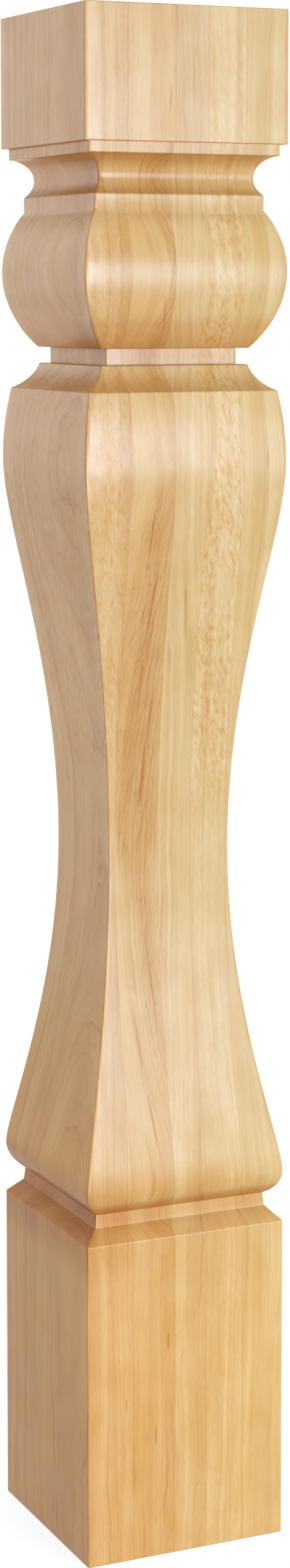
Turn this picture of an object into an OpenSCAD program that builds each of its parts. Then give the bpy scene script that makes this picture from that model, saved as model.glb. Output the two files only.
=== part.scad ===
// Square newel post, milled on all four sides from one glued-up hardwood blank.
// The origin is the middle of the foot. +Z is up, and the front face looks along -Y.

/* [Blank] */
// Full height of the post
post_h = 901.7; // [720:0.1:1200]
// Width of the square blank, across two faces
post_w = 127; // [90:0.5:180]

/* [Base block] */
// Height of the plain base block
base_h = 192.5; // [100:1:260]
// Depth of cut of the groove over the base block, at its foot
groove_cut = 8.3; // [4:0.1:14]
// Height of the groove's nearly upright wall
groove_h = 7.7; // [4:0.5:20]
// How far the groove's wall leans inwards on its way up
groove_lean = 0.8; // [0:0.1:3]

/* [Vase] */
// Height of the quarter-round under the foot of the vase
foot_round_h = 14.8; // [8:0.5:30]
// Depth of cut at the waist, the thinnest part of the vase
waist_cut = 25.1; // [12:0.1:28]
// Height of the waist, in percent of the way from the foot's widest line to the belly
waist_at = 46; // [30:1:70]
// How long the foot keeps its width, in percent of its way to the waist
foot_hold = 9; // [2:1:40]
// How long the waist stays thin downwards, in percent of the way to the foot
waist_hold_down = 51; // [20:1:80]
// How long the waist stays thin upwards, in percent of the way to the belly
waist_hold_up = 47; // [20:1:80]
// How long the belly keeps its width, in percent of its way to the waist
belly_hold = 19; // [2:1:40]
// Drop from the shoulder's arris to the belly's widest line
belly_drop = 41; // [20:1:70]
// Depth of cut at the shoulder's arris
shoulder_cut = 4; // [1:0.1:8]

/* [Cove and neck] */
// Height of the cove over the shoulder
cove_h = 15; // [8:0.5:24]
// Depth of cut at the cove's upper edge
cove_top_cut = 17.1; // [12:0.1:19]
// How far the cove is hollowed behind the straight line between its edges
cove_hollow = 2.2; // [0.5:0.1:4]
// Depth of cut of the neck
neck_cut = 22.2; // [20:0.1:28]
// Height of the neck
neck_h = 9.4; // [5:0.2:20]

/* [Ball] */
// Height of the ball, from its flat underside to the collar
ball_h = 78.5; // [50:0.5:110]
// Height of the ball's widest line over its underside
ball_widest_h = 43.9; // [30:0.1:48]
// Depth of cut at the edge of the ball's flat underside
ball_foot_cut = 16.6; // [10:0.1:19]

/* [Collar and cavetto] */
// Height of the collar over the ball
collar_h = 8.7; // [4:0.1:16]
// Depth of cut of the collar
collar_cut = 10.3; // [7:0.1:14]
// Height of the cavetto
cavetto_h = 22.4; // [14:0.1:30]
// How far the cavetto is hollowed behind the straight line between its edges
cavetto_hollow = 7.8; // [2:0.1:10]

/* [Top block] */
// Height of the fillet under the top block
fillet_h = 6.4; // [3:0.1:12]
// Depth of cut of the fillet
fillet_cut = 3.5; // [1:0.1:6]
// Height of the plain top block
top_h = 76.2; // [40:0.1:120]

/* [Hidden] */
arc_step = 4;      // degrees that one flat of an arc turns through
sweep_steps = 24;  // flats on each long sweep of the vase
maple = [0.80, 0.64, 0.45];

// Heights from the foot up, and from the top down. The vase takes up what is left between them.
groove_foot_z = base_h + groove_cut;
groove_top_z = groove_foot_z + groove_h;
foot_z = groove_top_z + foot_round_h;
fillet_top_z = post_h - top_h;
cavetto_top_z = fillet_top_z - fillet_h;
collar_top_z = cavetto_top_z - cavetto_h;
ball_top_z = collar_top_z - collar_h;
ball_foot_z = ball_top_z - ball_h;
neck_foot_z = ball_foot_z - neck_h;
shoulder_z = neck_foot_z - cove_h;
belly_z = shoulder_z - belly_drop;
waist_z = foot_z + (belly_z - foot_z) * waist_at / 100;

// The point of the outline that is cut this deep into the blank's face at height z.
function at(cut, z) = [post_w / 2 - cut, z];

// The points of an arc about a centre, from one end to the other, both included.
function arc(centre, radius, from, to) =
    let (n = max(2, ceil(abs(to - from) / arc_step)))
    [for (i = [0 : n]) let (a = from + (to - from) * i / n) centre + radius * [cos(a), sin(a)]];

// A round swell: it stands upright at its widest point, and one arc takes it to the end.
function swell(widest, end) =
    let (inset = widest.x - end.x, rise = end.y - widest.y,
         radius = (inset * inset + rise * rise) / (2 * inset))
    arc(widest - [radius, 0], radius, 0, atan2(rise, radius - inset));

// A hollow: one arc from the foot to the head, cut this deep behind the straight line between them.
function hollow(foot, head, depth) =
    let (chord = norm(head - foot), radius = (chord * chord / 4 + depth * depth) / (2 * depth),
         along = (head - foot) / chord, outward = [along.y, -along.x],
         centre = (foot + head) / 2 + (radius - depth) * outward,
         mid = atan2(-outward.y, -outward.x), half = asin(chord / 2 / radius))
    arc(centre, radius, mid + half, mid - half);

// A long sweep between two upright places, each held for its own share of the height.
function sweep(foot, head, foot_hold, head_hold) =
    let (run = head.y - foot.y, b = foot + [0, run * foot_hold / 100], c = head - [0, run * head_hold / 100])
    [for (i = [0 : sweep_steps]) let (t = i / sweep_steps, u = 1 - t)
        u * u * u * foot + 3 * u * u * t * b + 3 * u * t * t * c + t * t * t * head];

function reversed(points) = [for (i = [len(points) - 1 : -1 : 0]) points[i]];

// The same points with each that repeats the one before it left out.
function without_repeats(points) =
    [for (i = [0 : len(points) - 1]) if (i == 0 || norm(points[i] - points[i - 1]) > 0.001) points[i]];

// The right-hand outline, from the foot to the top.
outline = without_repeats(concat(
    [at(0, 0), at(0, base_h), at(groove_cut, groove_foot_z)],
    reversed(swell(at(0, foot_z), at(groove_cut + groove_lean, groove_top_z))),
    sweep(at(0, foot_z), at(waist_cut, waist_z), foot_hold, waist_hold_down),
    sweep(at(waist_cut, waist_z), at(0, belly_z), waist_hold_up, belly_hold),
    swell(at(0, belly_z), at(shoulder_cut, shoulder_z)),
    hollow(at(shoulder_cut, shoulder_z), at(cove_top_cut, neck_foot_z), cove_hollow),
    [at(neck_cut, neck_foot_z), at(neck_cut, ball_foot_z), at(ball_foot_cut, ball_foot_z)],
    reversed(swell(at(0, ball_foot_z + ball_widest_h), at(ball_foot_cut, ball_foot_z))),
    swell(at(0, ball_foot_z + ball_widest_h), at(collar_cut, ball_top_z)),
    [at(collar_cut, ball_top_z)],
    hollow(at(collar_cut, collar_top_z), at(fillet_cut, cavetto_top_z), cavetto_hollow),
    [at(fillet_cut, fillet_top_z), at(0, fillet_top_z), at(0, post_h)]
));

// The outline run right across the blank, as one pair of its faces is milled.
module milled_both_ways() {
    rotate([90, 0, 0])
        linear_extrude(post_w, center = true)
            polygon(concat(outline, [for (p = reversed(outline)) [-p.x, p.y]]));
}

module post() {
    color(maple)
        intersection() {
            milled_both_ways();
            rotate(90) milled_both_ways();
        }
}

post();
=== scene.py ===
import math

import bpy
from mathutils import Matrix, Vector


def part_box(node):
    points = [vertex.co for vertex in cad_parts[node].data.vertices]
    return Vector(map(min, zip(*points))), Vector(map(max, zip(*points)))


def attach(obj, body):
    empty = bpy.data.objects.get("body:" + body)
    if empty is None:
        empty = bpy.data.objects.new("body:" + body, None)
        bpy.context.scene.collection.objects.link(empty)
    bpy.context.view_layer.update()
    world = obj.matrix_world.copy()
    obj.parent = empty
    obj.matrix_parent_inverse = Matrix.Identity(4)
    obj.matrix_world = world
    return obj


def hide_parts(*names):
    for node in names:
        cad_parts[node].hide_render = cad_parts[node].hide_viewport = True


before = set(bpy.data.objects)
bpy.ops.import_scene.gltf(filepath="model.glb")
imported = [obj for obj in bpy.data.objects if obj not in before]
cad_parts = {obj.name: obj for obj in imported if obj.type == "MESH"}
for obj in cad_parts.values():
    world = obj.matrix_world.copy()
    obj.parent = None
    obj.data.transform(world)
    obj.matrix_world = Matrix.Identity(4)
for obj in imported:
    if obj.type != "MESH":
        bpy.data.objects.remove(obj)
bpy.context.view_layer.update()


# The post. One blank of hard maple, five boards glued face to face, milled on all four sides with the
# same shaped cutters, so that every level is a square. Foot block, chamfered groove, long vase with a
# waist, hollow shoulder, neck, ball, collar, cavetto, fillet and plain top block.
MM = 0.001
HALF_WIDTH, _, POST_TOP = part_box("post")[1]

BASE_TOP = 192.5 * MM             # the plain foot block
GROOVE_CUT = 8.3 * MM             # every cut is how far a place lies inside the faces of the blocks
GROOVE_FOOT = BASE_TOP + GROOVE_CUT
GROOVE_TOP = GROOVE_FOOT + 7.7 * MM
GROOVE_LEAN = 0.8 * MM

VASE_FOOT = GROOVE_TOP + 14.8 * MM
BELLY = 644.1 * MM
WAIST = VASE_FOOT + 0.46 * (BELLY - VASE_FOOT)
WAIST_CUT = 25.1 * MM
SHOULDER = BELLY + 41 * MM
SHOULDER_CUT = 4 * MM

NECK_FOOT = SHOULDER + 15 * MM
COVE_TOP_CUT = 17.1 * MM
COVE_HOLLOW = 2.2 * MM
NECK_CUT = 22.2 * MM

BALL_FOOT = NECK_FOOT + 9.4 * MM
BALL_FOOT_CUT = 16.6 * MM
BALL_WIDEST = BALL_FOOT + 43.9 * MM
BALL_TOP = BALL_FOOT + 78.5 * MM

COLLAR_CUT = 10.3 * MM
COLLAR_TOP = BALL_TOP + 8.7 * MM
CAVETTO_TOP = COLLAR_TOP + 22.4 * MM
CAVETTO_HOLLOW = 7.8 * MM
FILLET_CUT = 3.5 * MM
FILLET_TOP = CAVETTO_TOP + 6.4 * MM

ARC_STEP = math.radians(3)        # one facet of a milled curve
SWEEP_STEPS = 44                  # facets of each long sweep of the vase
SANDED_BACK = 0.7 * MM            # how far sanding runs back from a sharp edge
SHARP_TURN = math.radians(25)


def at(cut, height):
    return Vector((HALF_WIDTH - cut, height))


def arc(centre, radius, start, end):
    steps = max(2, round(abs(end - start) / ARC_STEP))
    angles = [start + (end - start) * step / steps for step in range(steps + 1)]
    return [centre + radius * Vector((math.cos(angle), math.sin(angle))) for angle in angles]


def swell(widest, end):
    """A round that stands upright at its widest place and closes in to its end."""
    inset, rise = widest.x - end.x, end.y - widest.y
    radius = (inset ** 2 + rise ** 2) / (2 * inset)
    return arc(widest - Vector((radius, 0)), radius, 0, math.atan2(rise, radius - inset))


def hollow(foot, head, depth):
    """A concave round from foot to head, dipping by depth below the straight line between them."""
    chord = (head - foot).length
    radius = (chord ** 2 / 4 + depth ** 2) / (2 * depth)
    along = (head - foot) / chord
    outward = Vector((along.y, -along.x))
    centre = (foot + head) / 2 + (radius - depth) * outward
    middle, half = math.atan2(-outward.y, -outward.x), math.asin(chord / 2 / radius)
    return arc(centre, radius, middle + half, middle - half)


def sweep(foot, head, foot_hold, head_hold):
    """A long curve, upright at both ends, that holds on to each end for a share of its height."""
    rise = Vector((0, head.y - foot.y))
    handles = (foot, foot + foot_hold * rise, head - head_hold * rise, head)
    points = []
    for step in range(SWEEP_STEPS + 1):
        t = step / SWEEP_STEPS
        shares = ((1 - t) ** 3, 3 * t * (1 - t) ** 2, 3 * t * t * (1 - t), t ** 3)
        points.append(sum((share * handle for share, handle in zip(shares, handles)), Vector((0, 0))))
    return points


def step_back(run, reach):
    """The run, cut off at reach before its end."""
    run = list(run)
    while (run[-1] - run[-2]).length < reach:
        reach -= (run[-1] - run[-2]).length
        run.pop()
    run[-1] = run[-1] + reach * (run[-2] - run[-1]).normalized()
    return run


def sanded(runs):
    """The runs joined into one outline, with a small round wherever two meet at a proud corner."""
    outline = list(runs[0])
    for run in runs[1:]:
        corner, arriving, leaving = run[0], run[0] - outline[-2], run[1] - run[0]
        proud = arriving.x * leaving.y - arriving.y * leaving.x > 0
        if not proud or arriving.angle(leaving) < SHARP_TURN:
            outline += run[1:]
            continue
        outline = step_back(outline, SANDED_BACK)
        ahead = step_back(run[::-1], SANDED_BACK)[::-1]
        start, end = outline[-1], ahead[0]
        for t in (0.25, 0.5, 0.75):
            outline.append((1 - t) ** 2 * start + 2 * t * (1 - t) * corner + t * t * end)
        outline += ahead
    return outline


outline = sanded([
    [Vector((0, 0)), at(0, 0)],
    [at(0, 0), at(0, BASE_TOP)],
    [at(0, BASE_TOP), at(GROOVE_CUT, GROOVE_FOOT)],
    [at(GROOVE_CUT, GROOVE_FOOT), at(GROOVE_CUT + GROOVE_LEAN, GROOVE_TOP)],
    swell(at(0, VASE_FOOT), at(GROOVE_CUT + GROOVE_LEAN, GROOVE_TOP))[::-1],
    sweep(at(0, VASE_FOOT), at(WAIST_CUT, WAIST), 0.09, 0.51),
    sweep(at(WAIST_CUT, WAIST), at(0, BELLY), 0.47, 0.19),
    swell(at(0, BELLY), at(SHOULDER_CUT, SHOULDER)),
    hollow(at(SHOULDER_CUT, SHOULDER), at(COVE_TOP_CUT, NECK_FOOT), COVE_HOLLOW),
    [at(COVE_TOP_CUT, NECK_FOOT), at(NECK_CUT, NECK_FOOT)],
    [at(NECK_CUT, NECK_FOOT), at(NECK_CUT, BALL_FOOT)],
    [at(NECK_CUT, BALL_FOOT), at(BALL_FOOT_CUT, BALL_FOOT)],
    swell(at(0, BALL_WIDEST), at(BALL_FOOT_CUT, BALL_FOOT))[::-1],
    swell(at(0, BALL_WIDEST), at(COLLAR_CUT, BALL_TOP)),
    [at(COLLAR_CUT, BALL_TOP), at(COLLAR_CUT, COLLAR_TOP)],
    hollow(at(COLLAR_CUT, COLLAR_TOP), at(FILLET_CUT, CAVETTO_TOP), CAVETTO_HOLLOW),
    [at(FILLET_CUT, CAVETTO_TOP), at(FILLET_CUT, FILLET_TOP)],
    [at(FILLET_CUT, FILLET_TOP), at(0, FILLET_TOP)],
    [at(0, FILLET_TOP), at(0, POST_TOP)],
    [at(0, POST_TOP), Vector((0, POST_TOP))],
])[1:-1]

# The foot is drawn as a square, its four corners eased as the arrises are, and drawn up level by level.
ARRIS = 4 * MM                    # how far the easing of an arris runs along each face at the foot
CURVE_WITHIN = math.radians(32)   # facets that meet at less than this are shaded as one curve
bpy.ops.object.select_all(action="DESELECT")
bpy.ops.mesh.primitive_plane_add(size=2 * outline[0].x)
post = bpy.context.object
post.name = "newel_post"
bpy.ops.object.mode_set(mode="EDIT")
bpy.ops.mesh.select_all(action="SELECT")
bpy.ops.mesh.bevel(affect="VERTICES", offset=ARRIS, segments=8, profile=0.8)
for below, above in zip(outline, outline[1:]):
    bpy.ops.mesh.extrude_region_move(TRANSFORM_OT_translate={"value": (0, 0, above.y - below.y)})
    spread = above.x / below.x
    bpy.ops.transform.resize(value=(spread, spread, 1), center_override=(0, 0, above.y))
bpy.ops.mesh.select_all(action="SELECT")
bpy.ops.mesh.normals_make_consistent(inside=False)
bpy.ops.object.mode_set(mode="OBJECT")
bpy.ops.object.shade_smooth_by_angle(angle=CURVE_WITHIN)
weighting = post.modifiers.new("flats stay flat", "WEIGHTED_NORMAL")
weighting.keep_sharp = True
bpy.ops.object.modifier_apply(modifier=weighting.name)


class Socket:
    """An output of a material node. A sum written with it adds its Math nodes: 1 - mask is one."""

    tree = None

    def __init__(self, socket):
        self.socket = socket

    @classmethod
    def node(cls, kind, settings=None, inputs=None, output=0):
        """Adds a node, sets it up, then gives its sockets their values or links."""
        added = cls.tree.nodes.new("ShaderNode" + kind)
        for name, setting in (settings or {}).items():
            setattr(added, name, setting)
        for name, value in (inputs or {}).items():
            if isinstance(value, Socket):
                cls.tree.links.new(value.socket, added.inputs[name])
            else:
                added.inputs[name].default_value = value
        return cls(added.outputs[output])

    def maths(self, operation, *terms):
        return Socket.node("Math", {"operation": operation}, dict(enumerate((self, *terms))))

    def __add__(self, other):
        return self.maths("ADD", other)

    def __sub__(self, other):
        return self.maths("SUBTRACT", other)

    def __rsub__(self, other):
        return Socket.node("Math", {"operation": "SUBTRACT"}, {0: other, 1: self})

    def __mul__(self, other):
        return self.maths("MULTIPLY", other)

    def __truediv__(self, other):
        return self.maths("DIVIDE", other)

    def __pow__(self, other):
        return self.maths("POWER", other)

    def __gt__(self, other):
        return self.maths("GREATER_THAN", other)

    def __abs__(self):
        return self.maths("ABSOLUTE")

    __radd__ = __add__
    __rmul__ = __mul__


def eased(value, low, high, start=0.0, end=1.0):
    """Runs from start to end, smoothly, as the value goes from low to high."""
    return Socket.node("MapRange", {"interpolation_type": "SMOOTHSTEP"},
                       {"Value": value, "From Min": low, "From Max": high, "To Min": start, "To Max": end})


def blend(share, first, second, how="MIX"):
    """The first colour, turned into the second by the share."""
    first, second = ((*colour, 1) if isinstance(colour, tuple) else colour for colour in (first, second))
    share_in, first_in, second_in, colour_out = 0, 6, 7, 2    # its colour sockets; the others mix numbers
    return Socket.node("Mix", {"data_type": "RGBA", "blend_type": how},
                       {share_in: share, first_in: first, second_in: second}, colour_out)


def tinted(colour, share, tint):
    """The colour, multiplied by the tint where the share is 1."""
    return blend(share, colour, tint, "MULTIPLY")


def cloud(across, deep, along, detail=2.0, seed=0.0):
    """Noise from 0 to 1 that changes over a unit of each of the three lengths it is given."""
    place = Socket.node("CombineXYZ", inputs={0: across, 1: deep, 2: along})
    return Socket.node("TexNoise", {"noise_dimensions": "4D"},
                       {"Vector": place, "W": seed, "Scale": 1.0, "Detail": detail})


# Each board: where it starts and where its pith ran, across the post and deep, how wide its rings grew,
# all in millimetres, its colour, and how strongly its rays, ring lines, streaks and heartwood show.
BOARDS = [
    dict(start=-63.5, pith=(-134, -37), ring=1.7, colour=(0.75, 0.49, 0.23),
         rays=0.55, lines=1.5, streaks=0.5, heart=0),
    dict(start=-34.8, pith=(52, 4), ring=2.6, colour=(0.75, 0.485, 0.22),
         rays=0.15, lines=0.9, streaks=0.65, heart=1),
    dict(start=-7.6, pith=(-92, -8), ring=3.1, colour=(0.775, 0.555, 0.29),
         rays=0.1, lines=0.65, streaks=0.7, heart=0),
    dict(start=13.0, pith=(104, -52), ring=2.2, colour=(0.785, 0.57, 0.30),
         rays=0.95, lines=0.45, streaks=0.35, heart=0),
    dict(start=36.2, pith=(170, -24), ring=1.9, colour=(0.775, 0.555, 0.275),
         rays=0.1, lines=0.5, streaks=0.35, heart=0),
]
BOARD_SEEDS = [0.0, 7.0, 14.0, 21.0, 28.0]        # each board has a figure of its own
maple = bpy.data.materials.new("maple")
maple.use_nodes = True
Socket.tree = maple.node_tree
lacquered = maple.node_tree.nodes["Principled BSDF"]


def axes(vector):
    """The vector's three parts."""
    return [Socket.node("SeparateXYZ", inputs={0: vector}, output=axis) for axis in "XYZ"]


# Places in the wood are in millimetres, and so are the sizes of its figure. Heights given to near are in
# metres, as the sizes of the post are.
place = Socket.node("TexCoord", output="Object")
x, y, z = axes(Socket.node("VectorMath", {"operation": "SCALE"}, {0: place, "Scale": 1 / MM}))
past_joint = [x > board["start"] for board in BOARDS[1:]]


def near(height, inner, outer):
    """1 up to the inner distance from a height of the post, easing off to 0 at the outer one."""
    return eased(abs(z - height / MM), inner, outer, 1.0, 0.0)


def by_board(values):
    """The value of whichever board the place is in."""
    total = values[0]
    for past, before, after in zip(past_joint, values, values[1:]):
        total = total + past * (after - before)
    return total


board_seed = by_board(BOARD_SEEDS)
pith_x = by_board([board["pith"][0] for board in BOARDS])
pith_y = by_board([board["pith"][1] for board in BOARDS])
ring_width = by_board([board["ring"] for board in BOARDS])
rays = by_board([board["rays"] for board in BOARDS])
lines = by_board([board["lines"] for board in BOARDS])
streaky = by_board([board["streaks"] for board in BOARDS])
hearty = by_board([board["heart"] for board in BOARDS])

# Growth rings stand round the pith, which is never quite straight. The first board is cut flat along
# its rings, and where they ripple, above the waist, its outer face shows them as zigzags.
RIPPLED = 595 * MM
EVEN_RIPPLE = 1.3
EXTRA_RIPPLE = 2.4
bend = cloud(x / 60, y / 60, z / 210, 1.0, board_seed) - 0.5
wobble = cloud(x / 13, y / 13, z / 34, 1.0, board_seed + 3) - 0.5
ripple = cloud(x / 8, y / 8, z / 9, 1.0, board_seed + 6) - 0.5
rippling = EVEN_RIPPLE + EXTRA_RIPPLE * near(RIPPLED, 35, 100) * (1 - past_joint[0])
from_pith = ((x - pith_x) ** 2 + (y - pith_y) ** 2) ** 0.5
from_pith = from_pith + 16 * bend + 2.6 * wobble + rippling * ripple
ring_count = from_pith / ring_width
ring_age = ring_count.maths("FRACT")
ring_number = ring_count.maths("FLOOR")
ring_strength = Socket.node("TexWhiteNoise", {"noise_dimensions": "1D"},
                            {"W": ring_number + 40 * board_seed})
ring_line = (0.3 * ring_age + 0.7 * ring_age ** 10) * (0.1 + 0.9 * ring_strength ** 3) * lines

# Darker and lighter layers, a few rings thick, and brown streaks that run with them. Fibres and vessels
# are the fine grain along the post.
layers = cloud(from_pith / 6, y / 40, z / 420, 2.0, board_seed + 5) - 0.5
streaks = eased(cloud(from_pith / 2.4, y / 18, z / 80, 2.0, board_seed + 8), 0.57, 0.75) * streaky
fibres = cloud(x / 0.8, y / 0.8, z / 22, 2.0, board_seed) - 0.5
vessels = eased(cloud(x / 0.4, y / 0.4, z / 4.5, 1.0, board_seed + 2), 0.6, 0.7)

# Brown heartwood shows in the second board, strongest where the vase is cut deep, with leaning hatching.
HEART_MIDDLE = 525 * MM
HEART_RADIUS = 88
HEART_BULGE = 18
HATCH_LEAN = 0.2
heart_edge = HEART_RADIUS + HEART_BULGE * near(HEART_MIDDLE, 70, 150)
heart = hearty * eased(heart_edge - from_pith, -5, 7) * eased(x, -18, -9, 1.0, 0.35)
lean = x - HATCH_LEAN * z
hatching = eased(cloud(lean / 0.9, y / 6, z / 24, 2.0, board_seed + 12), 0.50, 0.68) * heart
ticks = eased(cloud(lean / 0.9, y / 0.9, z / 6, 0.0, board_seed + 9), 0.68, 0.80)
ticks = ticks * (0.35 * streaky + 0.65 * heart)

# Rays run out from the pith, and show as short orange flecks, with painted highlights, pale and cool,
# between them.
# They are thickest on the upper half of the vase, where the cut lies along them, and thin out from there
# up.
FLECKS_THICKEN = (425, 485)
FLECKS_THIN = (690, 730)
FLECKS_FADE = (790, 830)
ray_zone = eased(cloud(x / 11, y / 14, z / 60, 1.0, board_seed + 11), 0.25, 0.50)
ray_zone = ray_zone * eased(z, *FLECKS_THICKEN, 0.2, 1.25) * eased(z, *FLECKS_THIN, 1.0, 0.65)
ray_zone = ray_zone * eased(z, *FLECKS_FADE, 1.0, 0.5)
ray_cut = cloud((x + 0.2 * z) / 2.1, y / 2.6, z / 5.2, 1.5, board_seed)
ray_marks = eased(ray_cut, 0.52, 0.62) * rays * ray_zone
ray_highlights = eased(ray_cut, 0.36, 0.48, 1.0, 0.0) * rays * ray_zone


# A few brown marks stand out on the front: across, height, half width, half length and lean of each.
MARKS = [
    (-21, 600, 0.9, 22, 0.06), (-17.5, 565, 1.0, 26, 0.12), (-22, 515, 1.2, 22, 0.06),
    (-14.5, 498, 0.8, 18, 0.1), (-18, 462, 1.2, 24, 0.05), (-12.5, 728, 0.7, 14, -0.1),
    (-9.5, 752, 0.6, 14, 0.1), (-24, 805, 0.7, 24, 0.08), (-11, 850, 0.6, 12, 0.05),
    (4, 560, 0.7, 22, -0.07), (51, 645, 0.6, 9, 0.0), (-14, 340, 1.0, 34, -0.1),
    (-19, 262, 0.9, 20, -0.12), (-24, 305, 0.7, 16, -0.1), (-12, 130, 0.7, 7, 0.0),
    (-20, 74, 0.8, 8, 0.0), (-39, 95, 0.7, 6, 0.0),
]
mark_edge = cloud(x / 1.6, y / 6, z / 11, 2.0, 4.0)
in_front = eased(y, -30, -20, 1.0, 0.0)


def brown_mark(across, height, half_width, half_length, lean):
    """1 in the body of a mark that is drawn out along the grain, and 0 beside it."""
    off_centre = (x - across - lean * (z - height)) / half_width
    off_middle = (z - height) / half_length
    body = 1 - off_centre ** 2 - off_middle ** 2 + 1.6 * (mark_edge - 0.5)
    return eased(body, 0.0, 0.9) * in_front


marks = brown_mark(*MARKS[0])
for mark in MARKS[1:]:
    marks = marks.maths("MAXIMUM", brown_mark(*mark))

# The colours of the boards come first, and each tint is laid over them.
STREAK_BROWN = (0.82, 0.62, 0.42)
wood = BOARDS[0]["colour"]
for past, board in zip(past_joint, BOARDS[1:]):
    wood = blend(past, wood, board["colour"])
figure = eased(cloud(x / 19, y / 19, z / 27, 1.0, 2.0), 0.36, 0.64)
wood = tinted(wood, eased(layers, -0.17, 0.17), (0.885, 0.80, 0.67))
wood = tinted(wood, figure, (0.965, 0.91, 0.795))
wood = tinted(wood, heart, (0.92, 0.86, 0.73))
wood = tinted(wood, hatching, (0.84, 0.71, 0.54))
wood = tinted(wood, streaks, STREAK_BROWN)
wood = tinted(wood, ring_line, (0.72, 0.52, 0.36))
wood = tinted(wood, eased(fibres, -0.2, 0.2), (0.975, 0.96, 0.94))
wood = tinted(wood, vessels * 0.35, (0.86, 0.76, 0.62))
wood = tinted(wood, marks, STREAK_BROWN)
wood = tinted(wood, ticks, (0.72, 0.50, 0.32))
wood = tinted(wood, ray_marks, (0.98, 0.80, 0.52))
# The pale, cool gleams between the ray flecks are a painted highlight.
wood = tinted(wood, ray_highlights, (1.05, 1.09, 1.26))

# The middle board is a shade greyer at the top end, and all of them are brighter and warmer at the foot.
# Each change runs between two heights.
GREYER = (770, 850)
BRIGHTER_BELOW = (120, 290)
grey_end = eased(z, *GREYER) * past_joint[1] * (1 - past_joint[2])
wood = tinted(wood, grey_end, (0.93, 0.88, 0.85))
wood = tinted(wood, eased(z, *BRIGHTER_BELOW, 1.0, 0.0), (1.16, 1.08, 0.92))

# End grain drinks more of the finish, on the top, the foot and the sloping mouldings. The same darkening
# also paints shade on every face that looks up or down.
leftward, _, upward = axes(Socket.node("TexCoord", output="Normal"))
end_grain_and_shade = eased(abs(upward), 0.3, 0.85)
wood = tinted(wood, end_grain_and_shade, (0.84, 0.73, 0.59))

# Painted shade lies in the groove, under the ball and in the cavetto, where the hollows fall dark.
CAVETTO_MIDDLE = (COLLAR_TOP + CAVETTO_TOP) / 2
UNDER_BALL = BALL_FOOT + 4.5 * MM
hollow_shade = near(GROOVE_TOP, 4, 9) + near(UNDER_BALL, 8, 17) + near(CAVETTO_MIDDLE, 5, 14)
wood = tinted(wood, hollow_shade, (0.93, 0.84, 0.70))

# Where the foot of the vase turns under and faces down, a patchy orange tint paints its shade.
underside_shade = near(VASE_FOOT, 5, 15) * eased(cloud(x / 15, y / 15, z / 40, 1.0, 6.0), 0.40, 0.60)

# The left side is the flat face of the first board. On it lie painted warm light toward its foot, painted
# shade lower down, and painted shade near its front arris, higher up and deeper in the hollows. The first
# board's chamfer and groove get painted shade, a deep orange on the left side.
WARM_LIGHT_BELOW = (260, 430)
LEFT_SHADE_BELOW = (175, 235)
ARRIS_SHADE_ABOVE = (250, 420)
CHAMFER = GROOVE_FOOT + 2 * MM
shaded_left_side = eased(leftward, -0.8, -0.4, 1.0, 0.0)
left_shade_near_arris = shaded_left_side * eased(y, -48, -8, 1.0, 0.0)
chamfer_shade = (1 - past_joint[0]) * near(CHAMFER, 12, 35)
# Painted shade under the turned-under foot of the vase, on all but the left side.
wood = tinted(wood, underside_shade * (1 - shaded_left_side), (0.97, 0.90, 0.75))
wood = tinted(wood, shaded_left_side * eased(z, *WARM_LIGHT_BELOW, 1.0, 0.0), (1.0, 0.95, 0.80))
wood = tinted(wood, shaded_left_side * eased(z, *LEFT_SHADE_BELOW, 1.0, 0.0), (0.87, 0.87, 0.84))
wood = tinted(wood, chamfer_shade, (0.96, 0.90, 0.80))
wood = tinted(wood, chamfer_shade * shaded_left_side, (0.83, 0.68, 0.32))
# Painted shade near the front arris of the left side, higher up, and deeper in its hollows.
wood = tinted(wood, left_shade_near_arris * eased(z, *ARRIS_SHADE_ABOVE), (0.88, 0.81, 0.70))
wood = tinted(wood, left_shade_near_arris * hollow_shade, (0.80, 0.72, 0.55))

# Between the boards a glue line shows as a hair of darker brown.
GLUE_CORE = 0.05
GLUE_EDGE = 0.28
for board in BOARDS[1:]:
    glue = eased(abs(x - board["start"]), GLUE_CORE, GLUE_EDGE, 1.0, 0.0)
    wood = tinted(wood, glue * 0.5, (0.72, 0.58, 0.42))

# The lacquer is satin and uneven. It is fattest along the arrises, thinner toward the foot, and sinks
# into end grain. Ring lines and vessels stay just open to the touch.
LACQUER_THINS = (240, 400)
sheen_patches = cloud(x / 16, y / 16, z / 24, 2.0)
satin = 0.36 + 0.22 * (sheen_patches - 0.5) + 0.2 * end_grain_and_shade + 0.06 * ring_line
fat_edge = eased(abs(abs(x) - abs(y)), 3, 16, 1.0, 0.0)
coat = (0.34 + 0.22 * fat_edge) * (1 - 0.85 * end_grain_and_shade) * eased(z, *LACQUER_THINS, 0.4, 1.0)
height = 1 - ring_line * 0.5 - vessels * 0.4
relief = Socket.node("Bump", inputs={"Strength": 0.12, "Distance": 0.0002, "Height": height})
for name, value in (("Base Color", wood), ("Roughness", satin), ("Coat Weight", coat), ("Normal", relief)):
    Socket.tree.links.new(value.socket, lacquered.inputs[name])
lacquered.inputs["Specular IOR Level"].default_value = 0.3
lacquered.inputs["Coat Roughness"].default_value = 0.22
lacquered.inputs["Coat IOR"].default_value = 1.5
post.data.materials.append(maple)

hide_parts("post")
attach(post, "root")


# The studio. A matt floor that looks white but bounces a warm light, in a white room. The glow of the
# floor is weakest round the post, so that its shadow shows there.
FLOOR_SIZE = 12
NEAR_FLOOR = 0.2                  # metres from the post, where its glow starts to rise
FAR_FLOOR = 1.8                   # and where it is full
ROOM_LEVEL = 0.2                  # the light that the room itself gives; it is seen at 1
bpy.ops.object.select_all(action="DESELECT")
bpy.ops.mesh.primitive_plane_add(size=FLOOR_SIZE)
floor = bpy.context.object
floor.name = "floor"


def seen():
    """1 for what the camera sees, straight or in a reflection or through glass, and 0 for plain light."""
    kinds = ("Camera", "Glossy", "Transmission")
    return sum(Socket.node("LightPath", output=f"Is {kind} Ray") for kind in kinds)


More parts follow.
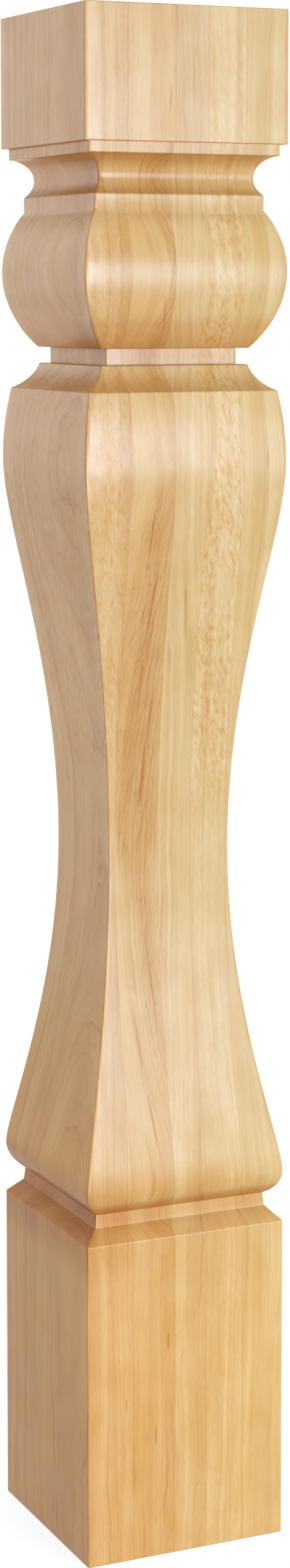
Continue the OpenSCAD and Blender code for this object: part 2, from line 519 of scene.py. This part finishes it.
paint = bpy.data.materials.new("floor paint")
paint.use_nodes = True
Socket.tree = paint.node_tree
matt = paint.node_tree.nodes["Principled BSDF"]
across, ahead, _ = axes(Socket.node("TexCoord", output="Object"))
away = eased((across ** 2 + ahead ** 2) ** 0.5, NEAR_FLOOR, FAR_FLOOR)
glow = blend(away, (0.68, 0.77, 0.86), (0.95, 0.95, 0.95))
glow = Socket.node("VectorMath", {"operation": "SCALE"}, {0: glow, "Scale": seen()})
Socket.tree.links.new(glow.socket, matt.inputs["Emission Color"])
matt.inputs["Emission Strength"].default_value = 1
matt.inputs["Base Color"].default_value = (0.44, 0.34, 0.22, 1)
matt.inputs["Roughness"].default_value = 1
matt.inputs["Specular IOR Level"].default_value = 0
floor.data.materials.append(paint)

room = bpy.data.worlds.new("room")
bpy.context.scene.world = room
room.use_nodes = True
Socket.tree = room.node_tree
wall = room.node_tree.nodes["Background"]
wall.inputs["Color"].default_value = (1, 1, 1, 1)
brightness = ROOM_LEVEL + (1 - ROOM_LEVEL) * seen()
Socket.tree.links.new(brightness.socket, wall.inputs["Strength"])


AIM_POINT = Vector((0, 0, 0.5))


def soft_box(name, azimuth, distance, height, width, tall, power, colour=(1, 1, 1)):
    """A lamp round the post, so many degrees to the right of its front, that faces the post."""
    lamp = bpy.data.lights.new(name, "AREA")
    lamp.shape = "RECTANGLE"
    lamp.size = width
    lamp.size_y = tall
    lamp.energy = power
    lamp.color = colour
    box = bpy.data.objects.new(name, lamp)
    bpy.context.scene.collection.objects.link(box)
    angle = math.radians(azimuth)
    box.location = (distance * math.sin(angle), -distance * math.cos(angle), height)
    aim = AIM_POINT - box.location
    box.rotation_euler = aim.to_track_quat("-Z", "Y").to_euler()


# Six soft boxes and a lit white card stand round the post. The cool box to the front right is the one
# that shines in the lacquer.
soft_box("right soft box", 17, 2.2, 0.68, 0.55, 0.76, 25, (0.55, 0.78, 1.0))
soft_box("left soft box", -8, 2.4, 0.4, 0.8, 0.8, 22, (1.0, 0.96, 0.95))
soft_box("left side box", -84, 2.4, 1.2, 1.1, 1.1, 14, (1.0, 0.95, 0.84))
soft_box("right side box", 95, 2.4, 0.55, 1.2, 1.2, 30)
soft_box("back soft box", 170, 2.6, 0.7, 1.2, 1.1, 34)
soft_box("white card", -155, 2.4, 0.9, 1.2, 1.1, 2.4, (0.95, 0.95, 1.0))
soft_box("top soft box", -30, 0.6, 2.9, 1.2, 1.2, 18, (0.88, 0.95, 1.0))


# The camera stands to the left of the front face, level with the ball, and looks down a little.
camera = bpy.data.cameras.new("camera")
viewer = bpy.data.objects.new("camera", camera)
bpy.context.scene.collection.objects.link(viewer)
bpy.context.scene.camera = viewer
viewer.location = (-0.7285, -1.5948, 0.7388)
viewer.rotation_euler = (math.radians(90 - 6.27), 0, math.radians(-24.61))
camera.sensor_width = 36
camera.lens = 68.35
camera.shift_y = -0.102

bpy.context.scene.view_settings.view_transform = "Standard"
